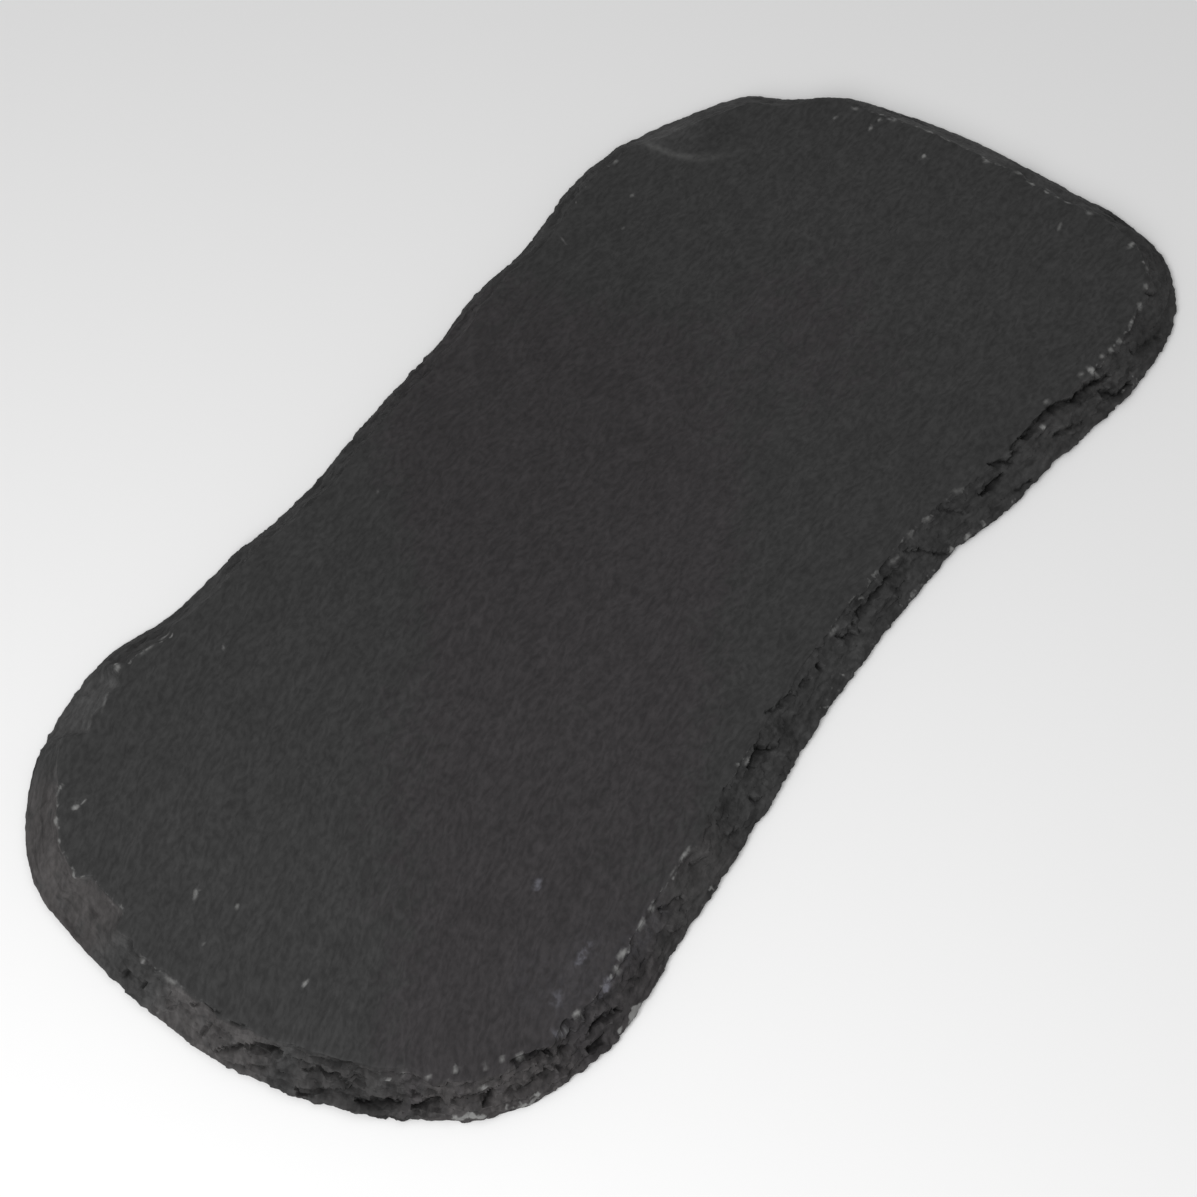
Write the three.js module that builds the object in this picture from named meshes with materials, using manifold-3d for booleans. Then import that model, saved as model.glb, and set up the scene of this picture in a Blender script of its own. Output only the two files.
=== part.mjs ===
// A waisted slab of slate: one piece of split stone with a hand-dressed edge, lying flat on its base.
// Millimetres, +Z up. +X runs along the slab, and the origin is the middle of its box at the base.
import * as THREE from "three";
import { mergeVertices } from "three/addons/utils/BufferGeometryUtils.js";
import Module from "manifold-3d";

// Driving dimensions.
const LENGTH = 300;
const WIDTH = 141;
const THICKNESS = 6;

// How wide the dressed edge is in plan, from the outline in to the flat top.
const DRESSED = { front: 8.4, ends: 6.6, back: 4.8 };

// Points along each layer's edge.
const EDGE_STATIONS = 168;

// The outline at its widest, anticlockwise from the right-hand end, as shares of half the length and
// half the width: two broad rounded ends, and two long sides that draw in towards the waist.
const OUTLINE = [
  [0.997, -0.06], [0.993, 0.14], [0.98, 0.34], [0.963, 0.475], [0.903, 0.645], [0.883, 0.745],
  [0.793, 0.865], [0.667, 0.969], [0.547, 1.0], [0.4, 0.962], [0.257, 0.967], [0.133, 0.933],
  [-0.04, 0.922], [-0.207, 0.896], [-0.36, 0.915], [-0.493, 0.929], [-0.6, 0.983], [-0.693, 0.962],
  [-0.807, 0.879], [-0.893, 0.738], [-0.943, 0.596], [-0.98, 0.312], [-1.0, -0.07], [-0.987, -0.355],
  [-0.947, -0.603], [-0.867, -0.844], [-0.78, -0.939], [-0.693, -0.983], [-0.5, -0.95], [-0.24, -0.9],
  [-0.053, -0.865], [0.24, -0.865], [0.333, -0.912], [0.493, -0.95], [0.7, -1.0], [0.853, -0.945],
  [0.933, -0.809], [0.973, -0.617], [0.984, -0.369],
];

// The cleavage layers from the base up: the height of each one's top as a share of the thickness,
// how far its edge stands back as a share of the dressed edge, and how much that edge wanders (mm).
// The lowest layer is undercut, the next is the widest, and the rest step back to the flat top.
const STRATA = [
  { top: 0.15, setback: 0.2, wander: 0.5 },
  { top: 0.33, setback: 0.0, wander: 0.3 },
  { top: 0.5, setback: 0.22, wander: 0.7 },
  { top: 0.67, setback: 0.46, wander: 0.9 },
  { top: 0.83, setback: 0.72, wander: 0.9 },
  { top: 1.0, setback: 1.0, wander: 0.7 },
];

// An edge wanders as a sum of waves: how many run round the slab, their share, and how far each
// layer's wave is turned from the one below.
const WAVES = [
  { count: 11, share: 0.5, turn: 0.21 },
  { count: 26, share: 0.3, turn: 0.47 },
  { count: 47, share: 0.2, turn: 0.83 },
];

// Small chips struck off the top edge all the way round.
const CHIPS = { count: 26, along: 6.5, inward: 3.2, deep: 1.7, smallest: 0.7, largest: 1.3 };
const GOLDEN = 0.618034;

// Larger single marks, each a flattened round cut: where its middle is [x, y, z], its half sizes
// [along, across, deep], and how far it is turned in plan, in degrees.
const MARKS = [
  { name: "shell-shaped scar, back right corner", at: [121, 63, 7.3], half: [22, 18, 2.1], turn: -35 },
  { name: "flake off the back left corner", at: [-112, 66, 7.0], half: [20, 7.5, 3.0], turn: 16 },
  { name: "flake off the left end, back", at: [-141, 45, 6.9], half: [8, 16, 3.2], turn: -28 },
  { name: "flake off the left end, middle", at: [-149, 12, 6.8], half: [7, 20, 3.2], turn: -4 },
  { name: "deep chip, left end", at: [-150, -18, 3.6], half: [4.5, 9, 1.0], turn: 8 },
  { name: "deep chip, front left corner", at: [-142, -44, 3.6], half: [5, 9, 1.2], turn: 28 },
  { name: "split in the front left corner", at: [-119, -67, 4.2], half: [17, 6, 0.7], turn: -20 },
  { name: "bite in the front edge", at: [-36, -61, 5.8], half: [7, 5, 1.8], turn: 6 },
  { name: "split at the front waist", at: [6, -58.5, 4.3], half: [24, 4.5, 0.6], turn: 0 },
  { name: "split under the top layer, front right", at: [75, -65.2, 4.35], half: [28, 8, 0.8], turn: -6 },
  { name: "split lower down, front right", at: [92, -69.4, 2.8], half: [15, 5, 0.6], turn: -5 },
  { name: "chip off the front right corner", at: [124, -66, 6.4], half: [13, 6, 2.4], turn: 22 },
];

const wasm = await Module();
wasm.setup();

/** A closed three.js geometry as a solid. */
function solidOf(geometry) {
  const bare = geometry.clone();
  bare.deleteAttribute("normal");
  bare.deleteAttribute("uv");
  const merged = mergeVertices(bare, 1e-4);
  return new wasm.Manifold(
    new wasm.Mesh({
      numProp: 3,
      vertProperties: new Float32Array(merged.attributes.position.array),
      triVerts: new Uint32Array(merged.index.array),
    }),
  );
}

/** A solid as a three.js geometry with flat facets. */
function geometryOf(solid) {
  const mesh = solid.getMesh();
  const indexed = new THREE.BufferGeometry()
    .setAttribute("position", new THREE.BufferAttribute(mesh.vertProperties, mesh.numProp))
    .setIndex(new THREE.BufferAttribute(mesh.triVerts, 1));
  const flat = indexed.toNonIndexed();
  flat.computeVertexNormals();
  return flat;
}

const outline = new THREE.CatmullRomCurve3(
  OUTLINE.map(([x, y]) => new THREE.Vector3((x * LENGTH) / 2, (y * WIDTH) / 2, 0)),
  true,
  "centripetal",
);

/** The outward direction of the outline, at a share of the way round. */
function outward(share) {
  const along = outline.getTangentAt(share);
  return new THREE.Vector2(along.y, -along.x).normalize();
}

/** The width of the dressed edge where the outline faces a direction. */
function dressedWidth(out) {
  const side = out.y < 0 ? DRESSED.front : DRESSED.back;
  return THREE.MathUtils.lerp(DRESSED.ends, side, Math.abs(out.y));
}

/** The outline's point at a share of the way round, set back by a share of the dressed edge and more. */
function rimPoint(share, setback, extra) {
  const point = outline.getPointAt(share);
  const out = outward(share);
  const inward = setback * dressedWidth(out) + extra;
  return new THREE.Vector2(point.x - out.x * inward, point.y - out.y * inward);
}

/** How far a layer's edge wanders at a share of the way round, from -1 to 1. */
function wanderAt(share, layer) {
  const heights = WAVES.map((wave) => {
    const turns = wave.count * share + wave.turn * layer;
    return wave.share * Math.sin(2 * Math.PI * turns);
  });
  return heights.reduce((sum, height) => sum + height);
}

/** One cleavage layer as an extruded outline, standing on the layer below. */
function stratum({ top, setback, wander }, layer) {
  const points = Array.from({ length: EDGE_STATIONS }, (_, i) => {
    const share = i / EDGE_STATIONS;
    return rimPoint(share, setback, wander * wanderAt(share, layer));
  });
  const base = layer === 0 ? 0 : STRATA[layer - 1].top * THICKNESS;
  const slice = new THREE.ExtrudeGeometry(new THREE.Shape(points), {
    depth: top * THICKNESS - base,
    bevelEnabled: false,
  });
  return slice.translate(0, 0, base);
}

/** A flattened round cutter, turned in plan and set at a place. */
function cutter([along, across, deep], turn, [x, y, z], segments) {
  return new THREE.SphereGeometry(1, segments, segments / 2)
    .rotateX(Math.PI / 2)
    .scale(along, across, deep)
    .rotateZ(turn)
    .translate(x, y, z);
}

/** The chip cutters, spread round the top edge so that no two neighbours match. */
function chipCutters() {
  return Array.from({ length: CHIPS.count }, (_, i) => {
    const share = (i * GOLDEN) % 1;
    const size = THREE.MathUtils.lerp(CHIPS.smallest, CHIPS.largest, (i * GOLDEN * GOLDEN) % 1);
    const place = rimPoint(share, 1, -CHIPS.inward * 0.75);
    const out = outward(share);
    const half = [CHIPS.along, CHIPS.inward, CHIPS.deep].map((value) => value * size);
    return cutter(half, Math.atan2(-out.x, out.y), [place.x, place.y, THICKNESS + 0.3], 10);
  });
}

/** The cutters for the larger single marks. */
function markCutters() {
  return MARKS.map(({ at, half, turn }) => cutter(half, THREE.MathUtils.degToRad(turn), at, 16));
}

/** The whole slab: the layers joined, then chipped and marked. */
function slab() {
  const layers = STRATA.map((layer, i) => solidOf(stratum(layer, i)));
  const body = layers.reduce((joined, layer) => joined.add(layer));
  const cutters = [...chipCutters(), ...markCutters()].map(solidOf);
  return geometryOf(cutters.reduce((left, tool) => left.subtract(tool), body));
}

/** Moves a geometry so that the middle of its box, at the base, is the origin. */
function standOnOrigin(geometry) {
  geometry.computeBoundingBox();
  const { min, max } = geometry.boundingBox;
  return geometry.translate(-(min.x + max.x) / 2, -(min.y + max.y) / 2, -min.z);
}

const slate = new THREE.MeshStandardMaterial({ color: 0x39383a, roughness: 0.72, metalness: 0 });

const group = new THREE.Group();
const slateSlab = new THREE.Mesh(standOnOrigin(slab()), slate);
slateSlab.name = "slate_slab";
group.add(slateSlab);

export default group;
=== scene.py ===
"""A waisted slab of slate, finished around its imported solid.

The slab is one stone: a riven top and a riven base, joined by a hand-dressed edge of flake scars,
splits and small bites. Lengths here are millimetres in the slab's own frame, with +X along it and
+Z up, and they become metres as each mesh is made.
"""

import logging
import math
from dataclasses import dataclass, field
from enum import Enum
from typing import ClassVar

import bpy
import numpy as np
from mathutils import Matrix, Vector, noise
from mathutils.geometry import delaunay_2d_cdt


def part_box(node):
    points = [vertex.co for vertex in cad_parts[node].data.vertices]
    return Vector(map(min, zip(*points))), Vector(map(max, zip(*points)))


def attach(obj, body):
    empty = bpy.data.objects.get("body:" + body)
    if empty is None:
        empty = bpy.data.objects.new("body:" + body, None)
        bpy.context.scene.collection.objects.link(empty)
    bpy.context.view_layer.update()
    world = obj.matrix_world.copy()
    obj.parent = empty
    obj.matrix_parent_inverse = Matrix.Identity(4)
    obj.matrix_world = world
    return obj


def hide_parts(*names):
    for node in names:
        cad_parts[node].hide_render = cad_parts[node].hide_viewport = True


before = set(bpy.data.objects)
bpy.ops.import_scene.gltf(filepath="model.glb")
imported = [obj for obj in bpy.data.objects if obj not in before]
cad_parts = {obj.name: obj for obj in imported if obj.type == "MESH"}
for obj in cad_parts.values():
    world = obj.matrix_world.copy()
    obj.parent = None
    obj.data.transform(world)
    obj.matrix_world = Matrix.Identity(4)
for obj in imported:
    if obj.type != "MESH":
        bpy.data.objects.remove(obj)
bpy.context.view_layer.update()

MM = 0.001
SEED = 74
NOISE_STEP = (3.7, -5.1, 8.3)
NOISE_FADE = 1.0
NOISE_FINER = 2.0
TRIANGLES_ONLY = 1
SAME_PLACE = 1e-7
log = logging.getLogger("slate_slab")

Point = tuple[float, float]
Colour = tuple[float, float, float, float]


class Slice(Enum):
    """Which slice of the noise each part of the stone reads, so that no two parts match."""

    WARP = 1.0
    RIPPLE = 2.0
    GRAIN = 3.0
    BASE = 5.0
    ROUGH = 6.0
    LIFT = 7.0
    LARGE_BLOCKS = 11.0
    SMALL_BLOCKS = 17.0
    SWAY_ALONG = 21.0
    SWAY_ACROSS = 22.0
    OPENING = 23.0
    MARKS = 31.0
    FEATHERS = 41.0


def smooth_step(values: np.ndarray, low: float, high: float) -> np.ndarray:
    """Rises smoothly from 0 to 1.

    Args:
        values: The numbers to grade.
        low: Where the rise starts.
        high: Where it ends; below low, the step falls instead.

    Returns:
        The graded numbers.
    """
    share = np.clip((values - low) / (high - low), 0.0, 1.0)
    return share * share * (3.0 - 2.0 * share)


def rough_field(places: np.ndarray, cell: tuple[float, ...], part: Slice, octaves: int) -> np.ndarray:
    """Reads fractal noise, about -1 to 1, at many places.

    Args:
        places: Points in millimetres, two or three columns.
        cell: The size of the largest lumps along each axis.
        part: Which slice of the noise to read.
        octaves: How many finer layers are added.

    Returns:
        One number for each point.
    """
    scaled = np.zeros((len(places), 3))
    scaled[:, : places.shape[1]] = places / np.array(cell)
    scaled += np.array(NOISE_STEP) * part.value
    return np.array([noise.fractal(Vector(spot), NOISE_FADE, NOISE_FINER, octaves) for spot in scaled])


@dataclass(frozen=True)
class Rim:
    """The slab's outline at its widest: even stations, anticlockwise."""

    points: np.ndarray
    outward: np.ndarray
    step: float
    upright: ClassVar[float] = 0.1
    curve_parts: ClassVar[int] = 24
    calm_reach: ClassVar[float] = 5.0

    @classmethod
    def from_node(cls, node: bpy.types.Object, low: float, high: float, stations: int) -> "Rim":
        """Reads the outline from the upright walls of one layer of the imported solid.

        Args:
            node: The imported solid.
            low: The height above which a wall belongs to the layer.
            high: The height below which it does.
            stations: How many stations the rim gets.

        Returns:
            The rim, drawn smoothly through the layer's corners.
        """
        mesh = node.data
        walls = [face for face in mesh.polygons if abs(face.normal.z) < cls.upright]
        walls = [face for face in walls if low < face.center.z / MM < high]
        found = {mesh.vertices[i].co.xy.to_tuple(5) for face in walls for i in face.vertices}
        corners = np.array(sorted(found, key=lambda spot: math.atan2(spot[1], spot[0]))) / MM
        curve = cls._through(corners)
        lengths = np.linalg.norm(np.diff(curve, axis=0, append=curve[:1]), axis=1)
        walked = np.concatenate([[0.0], np.cumsum(lengths)])
        wanted = np.arange(stations) * walked[-1] / stations
        closed = np.vstack([curve, curve[:1]])
        points = np.stack([np.interp(wanted, walked, closed[:, axis]) for axis in (0, 1)], axis=1)
        step = walked[-1] / stations
        calm = cls.averaged(points, round(cls.calm_reach / step))
        along = np.roll(calm, -1, axis=0) - np.roll(calm, 1, axis=0)
        along /= np.linalg.norm(along, axis=1, keepdims=True)
        return cls(points, np.stack([along[:, 1], -along[:, 0]], axis=1), step)

    @classmethod
    def _through(cls, corners: np.ndarray) -> np.ndarray:
        """Draws a closed smooth curve through corners.

        Args:
            corners: The corners, in order.

        Returns:
            The points of the curve.
        """
        before, ahead, beyond = (np.roll(corners, shift, axis=0) for shift in (1, -1, -2))
        rows = []
        for share in np.arange(cls.curve_parts) / cls.curve_parts:
            rows.append(
                0.5 * (
                    2.0 * corners
                    + (ahead - before) * share
                    + (2.0 * before - 5.0 * corners + 4.0 * ahead - beyond) * share**2
                    + (3.0 * corners - before - 3.0 * ahead + beyond) * share**3
                )
            )
        return np.stack(rows, axis=1).reshape(-1, 2)

    @staticmethod
    def averaged(points: np.ndarray, reach: int) -> np.ndarray:
        """Returns each value's average with its neighbours within a reach, round the loop."""
        total = sum(np.roll(points, shift, axis=0) for shift in range(-reach, reach + 1))
        return total / (2 * reach + 1)

    @property
    def length(self) -> float:
        """The distance all the way round."""
        return self.step * len(self.points)

    @property
    def places(self) -> np.ndarray:
        """Each station's distance along the rim."""
        return np.arange(len(self.points)) * self.step

    def place_of(self, spot: Point) -> float:
        """Returns the distance along the rim of the station nearest to a spot."""
        return float(np.argmin(np.hypot(*(self.points - spot).T))) * self.step

    def offsets(self, centre: float) -> np.ndarray:
        """Returns how far along the rim each station is from a place, the short way round."""
        half = self.length / 2.0
        return (self.places - centre + half) % self.length - half

    def window(self, start: Point, end: Point) -> np.ndarray:
        """Grades the stations over a stretch of the rim.

        Args:
            start: The spot nearest to where the stretch begins.
            end: The spot nearest to where it ends, anticlockwise from start.

        Returns:
            For each station, -1 at the start, 0 in the middle and 1 at the end, and more outside.
        """
        first = self.place_of(start)
        span = (self.place_of(end) - first) % self.length
        return self.offsets(first + span / 2.0) / (span / 2.0)


@dataclass(frozen=True)
class Drift:
    """A value that drifts at random round the rim, in waves of about one length."""

    wave: float
    height: float = 1.0
    fewest: ClassVar[int] = 4
    uneven: ClassVar[float] = 0.35

    def along(self, rng: np.random.Generator, rim: Rim) -> np.ndarray:
        """Draws the drift.

        Args:
            rng: The slab's random numbers.
            rim: The slab's rim.

        Returns:
            The value at each station, straight between knots at uneven distances.
        """
        count = max(self.fewest, round(rim.length / self.wave))
        knots = (np.arange(count) + rng.uniform(-self.uneven, self.uneven, count)) * rim.length / count
        heights = rng.uniform(-1.0, 1.0, count)
        return self.height * np.interp(rim.places, np.sort(knots % rim.length), heights, period=rim.length)


class Tier(Enum):
    """Which layers of the edge a flake scar cuts."""

    UPPER = "upper"
    LOWER = "lower"


@dataclass(frozen=True)
class FlakeScars:
    """A run of flake scars all round the edge, each hollow and meeting its neighbours in a ridge."""

    tier: Tier
    shortest: float
    longest: float
    shallowest: float
    deepest: float
    level_low: float
    level_high: float
    half_wide: ClassVar[float] = 0.66
    lean: ClassVar[float] = 0.35

    def cut(self, rng: np.random.Generator, rim: Rim, levels: np.ndarray) -> tuple[np.ndarray, np.ndarray]:
        """Works out how far the scars cut into the edge.

        Args:
            rng: The slab's random numbers.
            rim: The slab's rim.
            levels: The heights of the edge's rows, as shares of the thickness.

        Returns:
            The depth of the cut for each station and row, and a tone from -1 to 1 for the scar there.
        """
        depth = np.zeros((len(rim.points), len(levels)))
        tone = np.zeros_like(depth)
        place = 0.0
        while place < rim.length:
            gap = rng.uniform(self.shortest, self.longest)
            half = self.half_wide * gap
            deep = rng.uniform(self.shallowest, self.deepest)
            skew = rng.uniform(-self.lean, self.lean) * gap
            edge = rng.uniform(self.level_low, self.level_high)
            shade = rng.uniform(-1.0, 1.0)
            along = rim.offsets(place + gap / 2.0)[:, None] + skew * (1.0 - levels)[None, :]
            round_cut = np.clip(1.0 - (along / half) ** 2, 0.0, 1.0)
            new = deep * round_cut * self._hollow(levels, edge)[None, :]
            wins = new > depth
            depth = np.where(wins, new, depth)
            tone = np.where(wins, shade, tone)
            place += gap
        return depth, tone

    def _hollow(self, levels: np.ndarray, edge: float) -> np.ndarray:
        """Works out how much of its depth a scar has at each level.

        Args:
            levels: The heights of the edge's rows, as shares of the thickness.
            edge: The level at which the scar stops.

        Returns:
            The share of the depth at each level.
        """
        if self.tier is Tier.UPPER:
            share = np.clip((levels - edge) / (1.0 - edge), 0.0, 1.0)
            return smooth_step(levels, edge, edge + 0.05) * (0.7 + 0.6 * np.sin(np.pi * share))
        share = np.clip(levels / edge, 0.0, 1.0)
        return smooth_step(levels, edge, edge - 0.06) * (0.6 + 0.5 * np.sin(np.pi * share))


@dataclass(frozen=True)
class Crevice:
    """A dark opening behind a lifted flake, along a path seen from above that runs anticlockwise.

    Its wall is steep on the slab's side and gentle on the outer side.
    """

    path: tuple[Point, ...]
    wide: float
    deep: float
    steep: float = 0.55
    gentle: float = 2.1
    blunt_ends: ClassVar[float] = 0.5
    blunt_foot: ClassVar[float] = 0.8

    def depths(self, places: np.ndarray) -> np.ndarray:
        """Works out how far the crevice goes in.

        Args:
            places: Points on the broken edge, in plan.

        Returns:
            The depth at each point, 0 outside the crevice.
        """
        corners = np.array(self.path)
        lengths = np.linalg.norm(np.diff(corners, axis=0), axis=1)
        away = np.full(len(places), np.inf)
        share = np.zeros(len(places))
        inner = np.zeros(len(places), dtype=bool)
        for start, end, length, walked in zip(corners, corners[1:], lengths, np.cumsum(lengths) - lengths):
            course = end - start
            along = np.clip((places - start) @ course / length**2, 0.0, 1.0)
            gap = places - start - along[:, None] * course
            apart = np.hypot(*gap.T)
            nearer = apart < away
            inner = np.where(nearer, course[0] * gap[:, 1] > course[1] * gap[:, 0], inner)
            away = np.where(nearer, apart, away)
            share = np.where(nearer, (walked + along * length) / lengths.sum(), share)
        opening = 0.5 * self.wide * np.sin(np.pi * share) ** self.blunt_ends + 1e-6
        opening = opening * np.where(inner, self.steep, self.gentle)
        return self.deep * np.clip(1.0 - away / opening, 0.0, 1.0) ** self.blunt_foot


@dataclass(frozen=True)
class Stretch:
    """A stretch of the edge between two spots, anticlockwise."""

    start: Point
    end: Point

    def share(self, rim: Rim, out: float = 1.1, full: float = 0.7) -> np.ndarray:
        """Returns how much of the stretch each station has: 1 along its middle, fading to 0 past its ends."""
        return smooth_step(np.abs(rim.window(self.start, self.end)), out, full)


@dataclass(frozen=True)
class Flake(Stretch):
    """A stretch that is wider and paler than the rest, or narrower and darker, partly in its own tone and
    partly in painted light and shade.
    """

    wider: float = 0.0
    tone_and_painted_light: float = 0.0
    fresh: float = 0.15


@dataclass(frozen=True)
class Bruise(Stretch):
    """A stretch where the stone is crushed and pale."""

    strength: float


@dataclass(frozen=True)
class Oval:
    """An oval place on the slab, seen from above."""

    at: Point
    long: float
    wide: float
    turn: float

    def shares(self, places: np.ndarray, grow: float = 0.0) -> np.ndarray:
        """Measures places against the oval.

        Args:
            places: Points in plan.
            grow: How much larger than the oval to measure it.

        Returns:
            For each point, 0 at the middle of the oval and 1 on its edge.
        """
        turn = math.radians(self.turn)
        away = places - self.at
        along = away[:, 0] * math.cos(turn) + away[:, 1] * math.sin(turn)
        across = away[:, 1] * math.cos(turn) - away[:, 0] * math.sin(turn)
        return np.hypot(along / (self.long / 2.0 + grow), across / (self.wide / 2.0 + grow))


# A mark or stain shows from the first of these shares of its oval and is full within the second.
SOFT_EDGE = (1.3, 0.3)


@dataclass(frozen=True)
class Mark(Oval):
    """A small mark on the top face: a pale fleck, or a chalky smear."""

    strength: float
    chalky: bool = False


@dataclass(frozen=True)
class Stain(Oval):
    """A broad soft patch that is more plum, chalkier, paler or darker than the rest; the paler and darker
    patches partly paint the fall of light across the top.
    """

    plum: float = 0.0
    tone_and_painted_light: float = 0.0
    chalk: float = 0.0


@dataclass(frozen=True)
class Facets:
    """Angular broken stone: each small block stands at its own depth and its own tilt."""

    block: tuple[float, float, float]
    depth: float
    tilt: float
    part: Slice
    sway_cells: ClassVar[float] = 1.6
    sway: ClassVar[float] = 0.25
    push_key: ClassVar[float] = 13.7
    lean_key: ClassVar[float] = 29.3

    def pushes(self, places: np.ndarray) -> np.ndarray:
        """Works out how far the blocks push the surface out.

        Args:
            places: Points on the broken edge.

        Returns:
            For each point, the push in millimetres, inwards where it is below 0.
        """
        sway = rough_field(places, tuple(self.sway_cells * size for size in self.block), self.part, 2)
        scaled = places / np.array(self.block) + self.part.value + self.sway * sway[:, None]
        found = np.zeros(len(scaled))
        for i, spot in enumerate(map(Vector, scaled)):
            centre = noise.voronoi(spot)[1][0]
            own = self._drawn(centre * self.push_key)
            lean = self._drawn(centre * self.lean_key)
            found[i] = self.depth * own.x + self.tilt * lean.dot(spot - centre)
        return found

    @staticmethod
    def _drawn(spot: Vector) -> Vector:
        """Returns a vector that belongs to a block, each part from -1 to 1."""
        return noise.cell_vector(spot) * 2.0 - Vector((1.0, 1.0, 1.0))


# Each one's path, how wide it is and how deep it goes.
CREVICES = (
    Crevice(((51.2, -58.8), (53, -59.6), (60, -60.1)), 1.0, 1.5),
    Crevice(((58.7, -56.7), (61.3, -58.3), (63.5, -59.9), (70, -59.6)), 0.9, 1.2),
    Crevice(((65, -58.2), (70, -58.5), (74, -59.0)), 0.7, 1.0),
    Crevice(((70, -59.2), (77, -59.2), (82, -60.0), (88, -62.2), (93, -63.1), (99.5, -65)), 1.5, 1.8),
    Crevice(((75.5, -63.2), (79, -64), (81, -65.3), (84.5, -66.8)), 1.1, 1.2),
    Crevice(((93, -65.6), (96, -68.0), (98.5, -68.9), (102, -69.4)), 2.0, 1.6),
    Crevice(((108, -65.6), (112, -66.9), (118.5, -68.4)), 2.5, 1.0),
    Crevice(((124.2, -60.3), (126.5, -61.6)), 0.9, 0.8),
    Crevice(((58.5, -64.4), (63.5, -65.3)), 0.9, 0.8),
    Crevice(((46, -58), (49, -60.5)), 0.8, 0.6),
    Crevice(((41.8, -54.2), (43.5, -56), (45.5, -58.3)), 0.9, 0.9),
    Crevice(((27, -53.8), (30, -55), (32, -57.5), (33.6, -59.7), (36.5, -61.3)), 0.7, 0.9),
    Crevice(((4.5, -54.8), (12, -54.6), (21, -55.2)), 1.0, 1.2),
    Crevice(((8, -57.6), (16, -58.2), (24, -57.8)), 1.2, 0.8),
    Crevice(((0.3, -54.2), (3, -56), (6.3, -57.2)), 0.8, 1.0),
    Crevice(((-9.0, -55.2), (-7.0, -55.2)), 1.5, 1.4),
    Crevice(((-15.4, -54.7), (-11.4, -54.9)), 1.1, 1.2),
    Crevice(((-26, -53.3), (-22, -54), (-18.4, -54.3), (-16.8, -55.6)), 0.8, 1.1),
    Crevice(((-38.5, -57.1), (-34, -56.7), (-31, -57.6), (-29.6, -58.4)), 1.4, 1.5),
    Crevice(((-43.5, -61), (-41.4, -62.6)), 1.4, 1.0),
    Crevice(((-54, -61.6), (-50.5, -62.9)), 1.1, 0.7),
    Crevice(((-76.5, -61.2), (-73, -62), (-70.6, -63.7)), 1.1, 0.8),
    Crevice(((-64.5, -60.4), (-60.5, -61.6)), 1.1, 0.6),
    Crevice(((-90.5, -65.8), (-85.5, -65.3)), 1.1, 0.9),
    Crevice(((-104, -65.2), (-101, -65.7), (-97.6, -67.2)), 1.4, 1.7),
    Crevice(((-113.5, -63.2), (-108, -64.9), (-103.5, -65.2)), 1.0, 1.2),
    Crevice(((-109, -66.7), (-104.3, -67.5)), 1.6, 1.6),
    Crevice(((-121, -57.6), (-118, -59.5), (-115, -61.3), (-113.7, -62.8)), 1.4, 1.9),
    Crevice(((-116, -64.2), (-112.6, -66.4)), 1.2, 1.2),
    Crevice(((-126.3, -59.8), (-122, -62.2), (-117, -64.5)), 0.7, 1.0),
    Crevice(((-129.6, -57.4), (-126.4, -58.2)), 1.6, 1.5),
    Crevice(((-132.5, -52), (-130, -54.5), (-127, -57.4)), 0.8, 0.9),
    Crevice(((-137.2, -46.8), (-135, -49), (-133.2, -50.6)), 1.7, 1.7),
    Crevice(((-138.6, -47.4), (-134.4, -51.6)), 0.8, 1.0),
    Crevice(((-137.4, -42.6), (-134, -47.2)), 0.8, 1.1),
    Crevice(((-142.2, -37.4), (-139.8, -41), (-137.6, -44.6)), 1.5, 1.6),
    Crevice(((-143.6, -25.4), (-141.6, -29), (-139.9, -34.5)), 0.7, 1.2),
    Crevice(((-147.1, -26.8), (-144.3, -31.6)), 1.0, 1.1),
    Crevice(((-145.4, -13.6), (-144, -18), (-143.2, -21)), 1.2, 1.7),
    Crevice(((-149.0, -9), (-147, -11.4), (-145.2, -13.4)), 1.1, 1.3),
    Crevice(((-148.2, -16), (-146, -20.5)), 1.1, 0.9),
    Crevice(((-144.9, 0.5), (-143.8, -3), (-143.5, -6.5)), 0.7, 0.9),
    Crevice(((-144.6, -8), (-143, -12)), 0.7, 0.9),
    Crevice(((-148.6, -4.6), (-145, -6)), 0.8, 0.8),
    Crevice(((-148.0, 4.4), (-145.5, 2.2)), 0.7, 0.6),
    Crevice(((-147.0, 11.3), (-145.2, 10.4)), 0.8, 0.9),
    Crevice(((-146.6, 16.5), (-145.4, 15.6)), 1.1, 1.0),
    Crevice(((-82, 64.5), (-87, 65.4)), 1.0, 0.8),
    Crevice(((36, 65), (30, 64.6), (22, 63)), 0.8, 1.0),
    Crevice(((147.6, 12), (146.6, 19), (145, 26)), 0.9, 1.1),
    Crevice(((144.5, -42), (146.4, -36.5)), 0.9, 0.9),
)
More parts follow.
